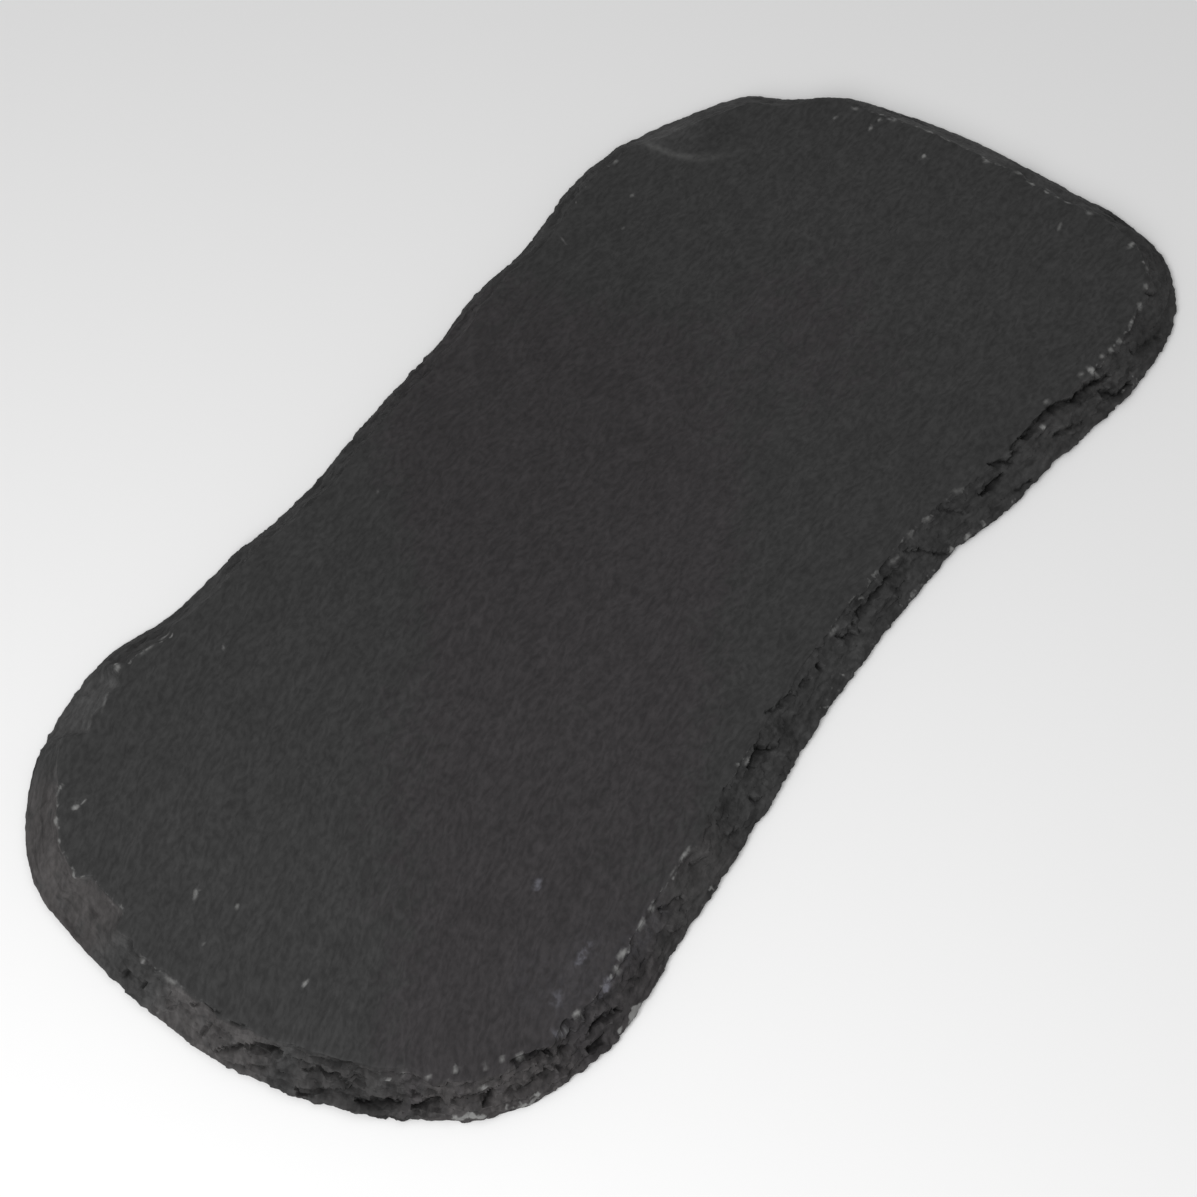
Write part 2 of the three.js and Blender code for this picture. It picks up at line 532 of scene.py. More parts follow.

# Where each one starts and ends, how much wider and paler it is, the paleness partly painted light and shade,
# and how fresh.
FLAKES = (
    # Painted light: this facet at the back of the left end is made paler, as if it faced the light.
    Flake((-94, 69), (-113, 64), 3.2, 2.8, 0.08),
    Flake((-76, 66), (-92, 69), 1.4, -1.0),
    Flake((-120, 61), (-147, 22), 1.2, 0.5, 0.9),
    Flake((-144, 39), (-147, 24), 1.7, -0.6),
    Flake((-148, 19), (-149, 10), -0.6, -0.6, 0.1),
    Flake((-149, 8), (-149, -22), -0.3, 1.1, 0.7),
    Flake((-148, -24), (-140, -48), tone_and_painted_light=-0.9, fresh=0.4),
    Flake((-140, -48), (-110, -69), -2.2, 0.4, 0.8),
    Flake((-109, -70), (-50, -64), -1.2, fresh=0.4),
    Flake((64, -66), (107, -70), tone_and_painted_light=0.4),
    # Painted shade: this hollow near the right front corner is made darker.
    Flake((107, -70), (122, -69), tone_and_painted_light=-0.7),
    Flake((122, -69), (143, -48), -0.7),
    # Painted light: the right end and the back beside it are made paler, as if lit from behind.
    Flake((147, -40), (149, -18), 0.9, 2.0, 0.05),
    Flake((149, -16), (145, 34), 1.1, 3.2, 0.05),
    Flake((142, 42), (99, 69), 1.6, 2.4, 0.05),
)

# Where the edge is smooth, and where it is roughest.
CALM_STRETCH = Stretch((-116, 64), (-148, 19))
RUGGED_PLACES = (
    Oval((-118, -64), 60, 60, 0),
    Oval((-141, -40), 50, 40, 0),
    Oval((-149, -14), 30, 26, 0),
)

# Crushed stone along the border of the top: where each run starts and ends, and its strength.
BRUISES = (
    Bruise((-122, 60), (-146, 21), 0.55),
    Bruise((-148, 18), (-150, -4), 0.45),
    Bruise((-143, -44), (-122, -64), 0.3),
    Bruise((-106, -70), (-56, -65), 0.55),
    Bruise((-42, -64), (-34, -63), 0.5),
    Bruise((-4, -61), (52, -65), 0.46),
    Bruise((90, -70), (122, -69), 0.5),
    Bruise((122, -69), (146, -42), 0.4),
    Bruise((146, -40), (145, 34), 0.62),
    Bruise((98, 67), (60, 69), 0.35),
    Bruise((-76, 66), (-96, 69), 0.6),
)

# The same, low down on the edge.
FEATHERS = (
    Bruise((-136, -54), (-129.5, -59), 1.0),
    Bruise((-128, -61), (-120, -65), 1.0),
    Bruise((-103, -70), (-92, -69), 1.0),
    Bruise((-72, -67), (-60, -66), 0.35),
    Bruise((-50, -65), (-38, -64), 0.3),
    Bruise((-20, -62), (34, -62), 0.5),
    Bruise((34, -62), (49, -65), 0.62),
    Bruise((49, -65), (62, -67), 0.45),
    Bruise((97, -70), (104, -71), 0.6),
    Bruise((-149, 16), (-150, -14), 0.3),
    Bruise((147, -36), (146, 30), 0.35),
)

# Where each one is, how long and wide it is, its turn in degrees and its strength.
MARKS = (
    Mark((-126, 14.5), 2.8, 0.9, 32, 0.8),
    Mark((-123.5, 6), 1.5, 0.8, 20, 0.45),
    Mark((-133.5, 6), 1.3, 0.7, 0, 0.25),
    Mark((-129.5, -15.6), 2.2, 0.8, 4, 0.6),
    Mark((-123.9, 47.3), 1.5, 1.1, 0, 0.9),
    Mark((-122, 46.8), 1.8, 0.5, 5, 0.5),
    Mark((-122.2, 56.1), 1.4, 0.7, 0, 0.5),
    Mark((-122.4, 52.8), 2.6, 0.6, 12, 0.5),
    Mark((-137, -41), 1.2, 0.9, 60, 0.5),
    Mark((-134, -42.5), 1, 0.8, 0, 0.4),
    Mark((-132, -46.8), 1.6, 0.9, -30, 0.45),
    Mark((-127.5, -56.6), 3.4, 0.8, -58, 0.55),
    Mark((-94.3, -55.4), 5.6, 2, 10, 0.55, chalky=True),
    Mark((-97, -63), 5, 1.6, 8, 0.6, chalky=True),
    Mark((-104.5, -57), 5, 2.6, 30, 0.3, chalky=True),
    Mark((-110, -61.5), 4, 1.8, -20, 0.35, chalky=True),
    Mark((-86, -39), 3.6, 1.8, 10, 0.5, chalky=True),
    Mark((-13.8, -56), 2.2, 1.5, 10, 0.9),
    Mark((75.5, -61.1), 1.8, 0.9, -10, 0.7),
    Mark((-110.5, 61), 1.1, 0.9, 0, 0.6),
    Mark((-76, 48.5), 1.8, 0.5, 40, 0.3),
    Mark((-24, 48), 1.4, 0.7, 30, 0.2),
    Mark((90.5, 64.3), 1.8, 0.9, -10, 0.7),
    Mark((83, 54.5), 1.8, 0.9, 0, 0.3),
    Mark((62, 59.8), 3.6, 0.6, 60, 0.25),
    Mark((73, 50), 1.3, 0.7, 0, 0.25),
    Mark((133.5, 29.3), 2, 0.8, 0, 0.35),
    Mark((135, 20.3), 2.4, 0.8, 5, 0.55),
    Mark((138.9, 20.1), 1.6, 0.8, 0, 0.55),
    Mark((134.2, 4.8), 1.3, 1, 0, 0.7),
    Mark((132, -33.6), 3.6, 0.8, 12, 0.3),
    Mark((136.5, -50.3), 3, 1, 5, 0.6),
    Mark((93.5, -60.5), 1.8, 1.2, 0, 0.4),
    Mark((96, -61.8), 2.4, 1.7, 35, 0.9),
    Mark((101, -61.7), 1.7, 1.3, 0, 0.5),
    Mark((104.2, -62.3), 1.6, 1.1, 0, 0.4),
    Mark((107.8, -62.7), 2.2, 1.3, 0, 0.65),
    Mark((113.5, -62.2), 2.4, 0.9, 0, 0.3),
    Mark((120, -61.3), 2.2, 1.2, 10, 0.4),
    Mark((126.3, -59.4), 2.8, 0.9, 15, 0.4),
    Mark((132, -56.8), 2.4, 0.9, 25, 0.35),
    Mark((82, -58.3), 2, 1.2, 0, 0.35),
    Mark((48.5, -55.4), 4, 1.4, -40, 0.2),
    Mark((38, -53.8), 2.4, 1, -15, 0.35),
    Mark((32, -53), 2.2, 0.9, 0, 0.3),
    Mark((24.5, -53.8), 4, 0.9, -10, 0.25),
    Mark((11, -53.4), 2, 1.1, 0, 0.45),
    Mark((0.8, -53.1), 3.2, 0.9, 0, 0.35),
    Mark((-37, -56.4), 3.4, 0.5, 5, 0.35),
    Mark((-63.5, -58.7), 4.4, 0.6, 5, 0.35),
    Mark((-68.5, -59.1), 3, 0.5, 5, 0.3),
    Mark((-77.5, -60.4), 2.6, 0.8, 5, 0.45),
    Mark((-81.5, -60.7), 3, 1.1, 5, 0.45),
    Mark((-89.5, -61.5), 2.6, 1.1, 5, 0.6),
    Mark((-92.8, -62.4), 2, 1.1, 0, 0.4),
    Mark((-109.5, -61.7), 2.6, 1.4, -25, 0.35),
    Mark((-118.7, -58.1), 1.8, 1, -30, 0.5),
    Mark((-124.3, -54.6), 1.4, 0.9, -30, 0.45),
    Mark((-136.8, -40.9), 1.8, 1.3, 60, 0.85),
    Mark((-127.9, -50.1), 1.5, 1.1, 30, 0.6),
    Mark((-121, -56), 1.5, 1, 0, 0.5),
    Mark((-105, -61.8), 1.8, 1.1, 0, 0.6),
    Mark((-128.4, 48.4), 2, 1, 40, 0.6),
    Mark((-139.2, 25), 2.6, 0.8, 70, 0.5),
    Mark((-138, 34), 2.4, 0.7, 60, 0.35),
    Mark((-143.3, 6), 5, 0.7, 86, 0.35),
    Mark((-143.2, 13.5), 1.4, 0.8, 0, 0.4),
    Mark((142.5, 8.5), 1.8, 1.2, 90, 0.6),
    Mark((143, 1.8), 2.4, 0.9, 90, 0.35),
    Mark((142.8, -25), 2.8, 1.4, 15, 0.5),
    Mark((141.6, -8), 2.4, 1.2, 80, 0.5),
    Mark((142.4, -16.5), 2, 1.2, 95, 0.45),
    Mark((140.8, 17.5), 2.6, 1.2, 100, 0.5),
    Mark((139, 27), 2.2, 1.1, 110, 0.4),
    Mark((140.3, -37), 2.2, 1.8, 0, 0.4),
    Mark((-85.5, 61.2), 4.4, 0.9, -8, 0.4),
    Mark((-80.5, 61), 3, 0.9, 0, 0.45),
    Mark((-92.6, 63.2), 2.2, 1.2, 20, 0.5),
    Mark((-100.5, 59.8), 6, 0.8, 28, 0.3),
)

# Where each one is, how long and wide it is, its turn in degrees and what it does to the stone.
STAINS = (
    Stain((10, 32), 120, 92, 55, plum=1.0, tone_and_painted_light=-0.02),
    Stain((-50, -20), 170, 84, 24, plum=1.0),
    Stain((-112, -56), 70, 50, -20, plum=0.9),
    Stain((72, 0), 80, 80, 60, plum=0.5),
    # Painted light and shade: darker behind the middle and paler at the two ends, as the light falls across
    # the top.
    Stain((10, 38), 150, 84, 15, tone_and_painted_light=-0.09),
    Stain((108, -8), 76, 100, 0, tone_and_painted_light=0.05),
    Stain((-124, 2), 60, 120, -10, tone_and_painted_light=0.07),
    Stain((106, 61), 22, 16, -35, tone_and_painted_light=0.42),
    Stain((113, 50), 18, 11, -30, tone_and_painted_light=-0.1),
    Stain((-98, -58), 30, 15, 12, chalk=0.05),
    Stain((-83, -62), 20, 6, 6, chalk=0.08),
    Stain((-104, -50), 16, 9, 30, chalk=0.04),
)


@dataclass(frozen=True)
class ShellScar(Oval):
    """The shallow shell-shaped scar where a thin flake came off one corner of the top."""

    deep: float = 0.3
    ridge_at: float = 0.98
    ridge_wide: float = 0.05
    ridge_fades: Point = (40.0, 50.0)

    def relief(self, places: np.ndarray) -> np.ndarray:
        """Works out how far the scar lowers the face.

        Args:
            places: Points on the face, in plan.

        Returns:
            A height of 0 or less for each point.
        """
        share = self.shares(places)
        dish = np.sqrt(np.clip(1.0 - np.clip(share, 0.0, 1.0) ** 2, 0.0, 1.0))
        return -self.deep * dish * smooth_step(share, 1.0, 0.9)

    def ridge(self, places: np.ndarray) -> np.ndarray:
        """Works out how pale the scar's crushed edge is, on the side away from the corner.

        Args:
            places: Points on the face, in plan.

        Returns:
            A strength from 0 to 1 for each point.
        """
        from_edge = (self.shares(places) - self.ridge_at) / self.ridge_wide
        fades = smooth_step(places[:, 1], *self.ridge_fades)
        return np.exp(-(from_edge**2)) * fades * (places[:, 0] < self.at[0])


class Face(Enum):
    """The slab's two riven faces."""

    TOP = "top"
    BASE = "base"


@dataclass(frozen=True)
class RivenRelief:
    """The low relief of a split face, in heights above or below flat."""

    warp: float = 0.2
    ripple: float = 0.06
    grain: float = 0.022
    base_ripple: float = 0.22
    warp_cell: Point = (110.0, 70.0)
    ripple_cell: Point = (26.0, 7.0)
    grain_cell: Point = (8.0, 1.9)
    base_cell: Point = (30.0, 12.0)
    fan: float = 0.0015
    scar: ShellScar = ShellScar((121.0, 62.0), 41.0, 46.6, -35.0)

    def grain_places(self, places: np.ndarray) -> np.ndarray:
        """Bends places so that the grain, which fans out at the left end, runs along X.

        Args:
            places: Points on the face, in plan.

        Returns:
            The bent points.
        """
        bend = self.fan * np.minimum(places[:, 0], 0.0) ** 2
        return np.stack([places[:, 0], places[:, 1] + bend], axis=1)

    def heights(self, places: np.ndarray, face: Face) -> np.ndarray:
        """Works out the relief of a face.

        Args:
            places: Points on the face, in plan.
            face: Which face it is.

        Returns:
            The height of each point above the flat of the top, or above the floor for the base.
        """
        bent = self.grain_places(places)
        if face is Face.BASE:
            lumps = rough_field(bent, self.base_cell, Slice.BASE, 3)
            return self.base_ripple * np.clip(lumps, 0.0, 1.0)
        warp = self.warp * rough_field(places, self.warp_cell, Slice.WARP, 2)
        ripple = self.ripple * rough_field(bent, self.ripple_cell, Slice.RIPPLE, 3)
        grain = self.grain * rough_field(bent, self.grain_cell, Slice.GRAIN, 2)
        return warp + ripple + grain + self.scar.relief(places)


@dataclass
class DressedEdge:
    """The broken edge: rows of points from the base, round the widest part and in over the top."""

    rim: Rim
    thickness: float
    rng: np.random.Generator
    # How wide the edge is at the front, the ends and the back.
    front: float = 7.9
    ends: float = 6.4
    back: float = 5.2
    width_drift: Drift = Drift(26.0, 0.45)
    # The level of its widest line, the undercut below that and the bulge above it.
    widest: float = 0.2
    undercut: float = 0.17
    bulge: float = 0.98
    bulge_drift: Drift = Drift(17.0, 0.28)
    # How stepped it is, and by how much more at the front and at the rugged places.
    plain_steps: float = 0.34
    front_steps: float = 0.24
    rugged_steps: float = 0.6
    steps_drift: Drift = Drift(16.0, 0.3)
    calm_share: float = 0.85
    strata: int = 11
    strata_drift: Drift = Drift(6.0)
    thin_layers: int = 14
    thin_drift: Drift = Drift(7.0)
    thin_setback: float = 0.15
    # Its rows, and how far in from each border the rows on the riven faces lie.
    rows: int = 33
    crowding: float = 0.92
    under_rows: tuple[float, ...] = (2.6, 0.9)
    over_rows: tuple[float, ...] = (0.0, 0.3, 0.7, 1.25, 2.0)
    lowest: float = 0.1
    proud: float = 0.45
    # The border of the top: over what reach it is evened out, its largest chip and its wear.
    border_reach: float = 2.0
    largest_chip: float = 0.6
    wear: float = 0.14
    wear_reach: float = 0.35
    # What is struck off it, and the broken stone that is left.
    upper: FlakeScars = FlakeScars(Tier.UPPER, 8.0, 19.0, 0.25, 1.15, 0.25, 0.7)
    lower: FlakeScars = FlakeScars(Tier.LOWER, 3.5, 10.0, 0.15, 0.75, 0.34, 0.6)
    nicks: FlakeScars = FlakeScars(Tier.UPPER, 2.0, 6.0, 0.0, 0.5, 0.5, 0.9)
    bites: FlakeScars = FlakeScars(Tier.LOWER, 1.6, 4.5, 0.0, 0.5, 0.3, 0.5)
    blocks: tuple[Facets, ...] = (
        Facets((5.2, 5.2, 2.0), 0.46, 0.42, Slice.LARGE_BLOCKS),
        Facets((2.0, 2.0, 1.0), 0.26, 0.3, Slice.SMALL_BLOCKS),
    )
    least_coarse: float = 0.12
    grit: float = 0.18
    grit_cell: tuple[float, float, float] = (1.2, 1.2, 0.8)
    lift: float = 0.12
    lift_cell: tuple[float, float, float] = (2.2, 2.2, 1.2)
    sway: float = 0.45
    sway_cell: Point = (2.4, 2.4)
    opening_cell: Point = (3.0, 3.0)
    scar_tones_and_painted_light: np.ndarray = field(init=False)
    fresh: np.ndarray = field(init=False)
    painted_shade_in_hollows: np.ndarray = field(init=False)
    border: np.ndarray = field(init=False)
    stepping: np.ndarray = field(init=False)

    def width(self) -> np.ndarray:
        """Works out how wide the edge is before it is chipped.

        Returns:
            The width at each station.
        """
        facing = self.rim.outward[:, 1]
        side = np.where(facing < 0.0, self.front, self.back)
        plain = self.ends + (side - self.ends) * np.abs(facing)
        plain = plain + self.width_drift.along(self.rng, self.rim)
        return plain + sum(flake.wider * flake.share(self.rim) for flake in FLAKES)

    def steps(self) -> np.ndarray:
        """Works out how stepped the edge is.

        Returns:
            For each station, from 0, smooth, to 1.
        """
        drift = self.steps_drift.along(self.rng, self.rim)
        rugged = np.exp(-(np.min([place.shares(self.rim.points) for place in RUGGED_PLACES], axis=0) ** 2))
        front = smooth_step(self.rim.outward[:, 1], 0.2, -0.6)
        stepped = self.plain_steps + drift + self.front_steps * front + self.rugged_steps * rugged
        calm = CALM_STRETCH.share(self.rim, 1.15, 0.85)
        return np.clip(stepped * (1.0 - self.calm_share * calm), 0.0, 1.0)

    def _stepped(self, levels: np.ndarray, strength: np.ndarray) -> np.ndarray:
        """Snaps levels towards the tops of uneven strata.

        Args:
            levels: The heights of the rows, as shares of the thickness.
            strength: How much of the step each station shows.

        Returns:
            The level that sets how far back each station and row stands.
        """
        cuts = np.sort(np.concatenate([[0.0, 1.0], self.rng.uniform(0.06, 0.94, self.strata - 1)]))
        layer = np.clip(np.searchsorted(cuts, levels, side="right") - 1, 0, self.strata - 1)
        share = (levels - cuts[layer]) / (cuts[layer + 1] - cuts[layer])
        snapped = cuts[layer] + (cuts[layer + 1] - cuts[layer]) * share**5
        return levels[None, :] + strength[:, None] * (snapped - levels)[None, :]

    def _lamination(self, levels: np.ndarray) -> np.ndarray:
        """Draws the small setbacks that thin layers share.

        Args:
            levels: The heights of the rows, as shares of the thickness.

        Returns:
            The setback for each station and row.
        """
        waves = [self.thin_drift.along(self.rng, self.rim) for _ in range(self.thin_layers + 1)]
        layers = np.floor(levels * self.thin_layers).astype(int)
        return np.stack([waves[layer] for layer in layers], axis=1)

    def insets(self, levels: np.ndarray) -> np.ndarray:
        """Works out how far in from the rim each point of the broken edge stands.

        Args:
            levels: The heights of the rows, as shares of the thickness.

        Returns:
            The inset for each station and row.
        """
        width = self.width()
        self.stepping = self.steps()
        broken_up = smooth_step(self.strata_drift.along(self.rng, self.rim), -0.6, 0.6)
        stepped = self._stepped(levels, self.stepping * broken_up)
        curve = self.bulge + self.bulge_drift.along(self.rng, self.rim)
        above = np.clip((stepped - self.widest) / (1.0 - self.widest), 0.0, 1.0)
        below = np.clip(1.0 - levels / self.widest, 0.0, 1.0)
        inset = width[:, None] * above ** curve[:, None]
        inset = inset + self.undercut * width[:, None] * (below**1.5)[None, :]
        upper, tone = self.upper.cut(self.rng, self.rim, levels)
        lower, low_tone = self.lower.cut(self.rng, self.rim, levels)
        nicks = sum(run.cut(self.rng, self.rim, levels)[0] for run in (self.nicks, self.bites))
        tone_and_painted_light = sum(flake.tone_and_painted_light * flake.share(self.rim) for flake in FLAKES)
        self.fresh = np.max([flake.fresh * flake.share(self.rim) for flake in FLAKES], axis=0)
        self.scar_tones_and_painted_light = 0.6 * tone + 0.4 * low_tone + tone_and_painted_light[:, None]
        rough = (0.3 + 0.7 * self.stepping)[:, None]
        inset = inset + upper + rough * (lower + nicks) + self.thin_setback * rough * self._lamination(levels)
        reach = round(self.border_reach / self.rim.step)
        outermost = inset.min(axis=1)
        inset = inset - (self.rim.averaged(outermost, reach) + self.proud)[:, None]
        border = inset[:, -1]
        chips = border - self.rim.averaged(border, 2 * reach)
        fitted = width + np.clip(chips, -self.largest_chip, self.largest_chip) - border
        return inset + fitted[:, None] * above**1.5

    def points(self, relief: RivenRelief) -> np.ndarray:
        """Places every point of the edge.

        Args:
            relief: The relief of the faces that the edge meets.

        Returns:
            The points as stations by rows by three, from under the base to over the top.
        """
        levels = np.linspace(0.0, 1.0, self.rows) ** self.crowding
        inset = self.insets(levels)
        self.border = inset[:, -1]
        under = inset[:, :1] + np.array(self.under_rows)[None, :]
        over = inset[:, -1:] + np.array(self.over_rows)[None, 1:]
        inset = np.concatenate([under, inset, over], axis=1)
        level = np.concatenate([np.zeros(len(self.under_rows)), levels, np.ones(len(self.over_rows) - 1)])
        plan = self.rim.points[:, None, :] - self.rim.outward[:, None, :] * inset[:, :, None]
        flat = plan.reshape(-1, 2)
        level = np.tile(level, len(self.rim.points))
        top = self.thickness + relief.heights(flat, Face.TOP) - self._worn(inset).ravel()
        base = relief.heights(flat, Face.BASE) * smooth_step(level, 0.3, 0.0)
        points = np.column_stack([flat, base + (top - base) * level])
        # The broken stone pushes the edge in and out, least along its widest line.
        broken = np.tile(self.broken_rows(), len(self.rim.points))
        coarse = self.least_coarse + np.repeat(self.stepping, self.row_count)
        push = coarse * sum(blocks.pushes(points) for blocks in self.blocks) * broken
        push *= 1.0 - 0.5 * np.exp(-(((level - self.widest) / 0.2) ** 2))
        grit = (0.3 + coarse) * self.grit * rough_field(points, self.grit_cell, Slice.ROUGH, 3) * broken
        lift = coarse * self.lift * rough_field(points, self.lift_cell, Slice.LIFT, 3) * broken
        outward = np.repeat(self.rim.outward, self.row_count, axis=0)
        points[:, :2] += outward * (push + grit)[:, None]
        points[:, 2] += lift
        # The crevices sink in square to the edge's slope.
        sunk = self._sunk(flat)
        slope = np.repeat(np.arctan2(self.thickness, self.border), self.row_count)
        points[:, :2] -= outward * (sunk * np.sin(slope))[:, None]
        points[:, 2] -= sunk * np.cos(slope)
        points[:, 2] = np.maximum(points[:, 2], base * (1.0 - broken) + self.lowest * broken)
        # Painted shade: crevices and sunken blocks are marked to be darkened, as if in shadow.
        painted_shade_in_pockets = 0.75 * smooth_step(-push - grit, 0.15, 0.7)
        self.painted_shade_in_hollows = np.maximum(smooth_step(sunk, 0.1, 1.5), painted_shade_in_pockets)
        return points.reshape(len(self.rim.points), self.row_count, 3)

    def _sunk(self, flat: np.ndarray) -> np.ndarray:
        """Works out how far the crevices sink the edge.

        Args:
            flat: The edge's points, in plan.

        Returns:
            The depth at each point.
        """
        slices = (Slice.SWAY_ALONG, Slice.SWAY_ACROSS)
        sway = [rough_field(flat, self.sway_cell, part, 3) for part in slices]
        swayed = flat + self.sway * np.stack(sway, axis=1)
        sunk = np.max([crevice.depths(swayed) for crevice in CREVICES], axis=0)
        sunk = sunk * np.clip(0.95 + 0.45 * rough_field(flat, self.opening_cell, Slice.OPENING, 2), 0.4, 1.3)
        over = np.array(self.over_rows)
        fade = np.ones(self.row_count)
        fade[-len(over) :] = 1.0 - over / over[-1]
        fade[: len(self.under_rows) + 1] = 0.0
        return sunk * np.tile(fade, len(self.rim.points))

    @property
    def row_count(self) -> int:
        """How many rows of points the edge has in all."""
        return len(self.under_rows) + self.rows + len(self.over_rows) - 1

    def _worn(self, inset: np.ndarray) -> np.ndarray:
        """Returns how much the border of the top is worn down at each point."""
        past = inset - self.border[:, None]
        return self.wear * np.exp(-np.clip(past, 0.0, None) / self.wear_reach)

    def broken_rows(self) -> np.ndarray:
        """Tells the rows on the broken edge from those on a riven face.

        Returns:
            1 for each row on the broken edge and 0 for each other row.
        """
        faces_under = np.zeros(len(self.under_rows) + 1)
        faces_over = np.zeros(len(self.over_rows))
        return np.concatenate([faces_under, np.ones(self.rows - 2), faces_over])


@dataclass
class SlateSlab:
    """The whole slab: its dressed edge, its riven top and its riven base, in one mesh."""

    node: bpy.types.Object
    thickness: float
    top_spacing: float = 1.25
    base_spacing: float = 3.0
    mark_spacing: float = 0.35
    spacing_jitter: float = 0.16
    border_gap: float = 0.585
    stations: int = 1560
    rim_layer: Point = (0.17, 0.31)
    crease: float = 32.0
    # How marks and the scar's edge are drawn on the top.
    top_from: float = 0.8
    mark_reach: float = 0.6
    mark_clear: float = 0.7
    mark_fill: float = 0.4
    mark_jitter: float = 0.05
    mark_sway: float = 0.45
    mark_cell: Point = (1.0, 1.0)
    mark_gain: float = 1.1
    scar_pale: float = 0.17
    # How far crushed stone reaches down and in from the border, and how high the low runs are.
    crushed_down: float = 0.5
    crushed_in: float = 0.75
    feather_height: float = 1.3
    feather_spread: float = 0.8
    feather_cell: tuple[float, float, float] = (2.8, 2.8, 1.1)
    name: str = "riven_slate_slab"
    rng: np.random.Generator = field(init=False)
    rim: Rim = field(init=False)
    relief: RivenRelief = field(default_factory=RivenRelief)

    def __post_init__(self) -> None:
        """Draws the rim and starts the random numbers."""
        self.rng = np.random.default_rng(SEED)
        low, high = (share * self.thickness for share in self.rim_layer)
        self.rim = Rim.from_node(self.node, low, high, self.stations)

    def build(self) -> bpy.types.Object:
        """Builds the slab's mesh and its object.

        Returns:
            The object, with the values that its finish reads stored on its points.
        """
        edge = DressedEdge(self.rim, self.thickness, self.rng)
        band = edge.points(self.relief)
        count, rows = band.shape[:2]
        points = [band.reshape(-1, 3)]
        faces = self._band_faces(count, rows)
        for face, row in ((Face.TOP, rows - 1), (Face.BASE, 0)):
            ring = np.arange(count) * rows + row
            added, triangles = self._face_mesh(band[:, row, :2], face, ring, sum(map(len, points)))
            points.append(added)
            faces += triangles
        return self._object(np.vstack(points), faces, edge, rows)

    @staticmethod
    def _band_faces(count: int, rows: int) -> list[tuple[int, ...]]:
        """Joins the edge's points with four-sided faces.

        Args:
            count: How many stations there are.
            rows: How many points each station has.

        Returns:
            The faces as numbers of points, facing out.
        """
        faces = []
        for i in range(count):
            here, there = i * rows, ((i + 1) % count) * rows
            faces += [(here + j, there + j, there + j + 1, here + j + 1) for j in range(rows - 1)]
        return faces

    def _seeds(self, ring: np.ndarray, face: Face) -> np.ndarray:
        """Spreads points over a face, closer together at its marks.

        Args:
            ring: The face's border in plan.
            face: Which face it is.

        Returns:
            The points in plan, all inside the border.
        """
        spacing = self.top_spacing if face is Face.TOP else self.base_spacing
        seeds = self._lattice(ring.min(axis=0), ring.max(axis=0), spacing)
        seeds += self.rng.uniform(-self.spacing_jitter, self.spacing_jitter, seeds.shape) * spacing
        if face is Face.TOP:
            for mark in MARKS:
                reach = mark.long / 2.0 + self.mark_reach
                fine = self._lattice(np.array(mark.at) - reach, np.array(mark.at) + reach, self.mark_spacing)
                fine += self.rng.uniform(-self.mark_jitter, self.mark_jitter, fine.shape)
                coarse = seeds[mark.shares(seeds, self.mark_clear) > 1.0]
                seeds = np.vstack([coarse, fine[mark.shares(fine, self.mark_fill) < 1.0]])
        seeds = seeds[self._within(seeds, ring, self.border_gap * spacing)]
        return seeds[self._enclosed(seeds, ring)]

    @staticmethod
    def _lattice(low: np.ndarray, high: np.ndarray, spacing: float) -> np.ndarray:
        """Spreads points in even triangles over a box.

        Args:
            low: The box's lowest corner in plan.
            high: Its highest corner.
            spacing: How far apart the points are.

        Returns:
            The points.
        """
        across = np.arange(low[1], high[1], spacing * math.sqrt(0.75))
        rows = []
        for n, y in enumerate(across):
            xs = np.arange(low[0] + (n % 2) * spacing / 2.0, high[0], spacing)
            rows.append(np.stack([xs, np.full_like(xs, y)], axis=1))
        return np.vstack(rows)

    @staticmethod
    def _within(seeds: np.ndarray, ring: np.ndarray, margin: float) -> np.ndarray:
        """Tells which points are clear of a ring, measured from the middle.

        Args:
            seeds: The points to test.
            ring: The ring's points in plan.
            margin: How much nearer to the middle than the ring a point has to be.

        Returns:
            True for each point that is clear of it.
        """
        turn = np.arctan2(ring[:, 1], ring[:, 0])
        order = np.argsort(turn)
        reach = np.hypot(*ring.T)[order]
        limit = np.interp(np.arctan2(seeds[:, 1], seeds[:, 0]), turn[order], reach, period=2.0 * math.pi)
        return np.hypot(*seeds.T) < limit - margin

    @staticmethod
    def _enclosed(spots: np.ndarray, ring: np.ndarray) -> np.ndarray:
        """Tells which spots a ring encloses, by counting how often a line from each one crosses it.

        Args:
            spots: The spots to test, in plan.
            ring: The ring's points in plan.

        Returns:
            True for each spot inside.
        """
        inside = np.zeros(len(spots), dtype=bool)
        for start, end in zip(ring, np.roll(ring, -1, axis=0)):
            run, away = end - start, spots - start
            straddles = (away[:, 1] < 0.0) != (away[:, 1] < run[1])
            turn = run[0] * away[:, 1] - run[1] * away[:, 0]
            inside ^= straddles & ((turn > 0.0) == (run[1] > 0.0))
        return inside

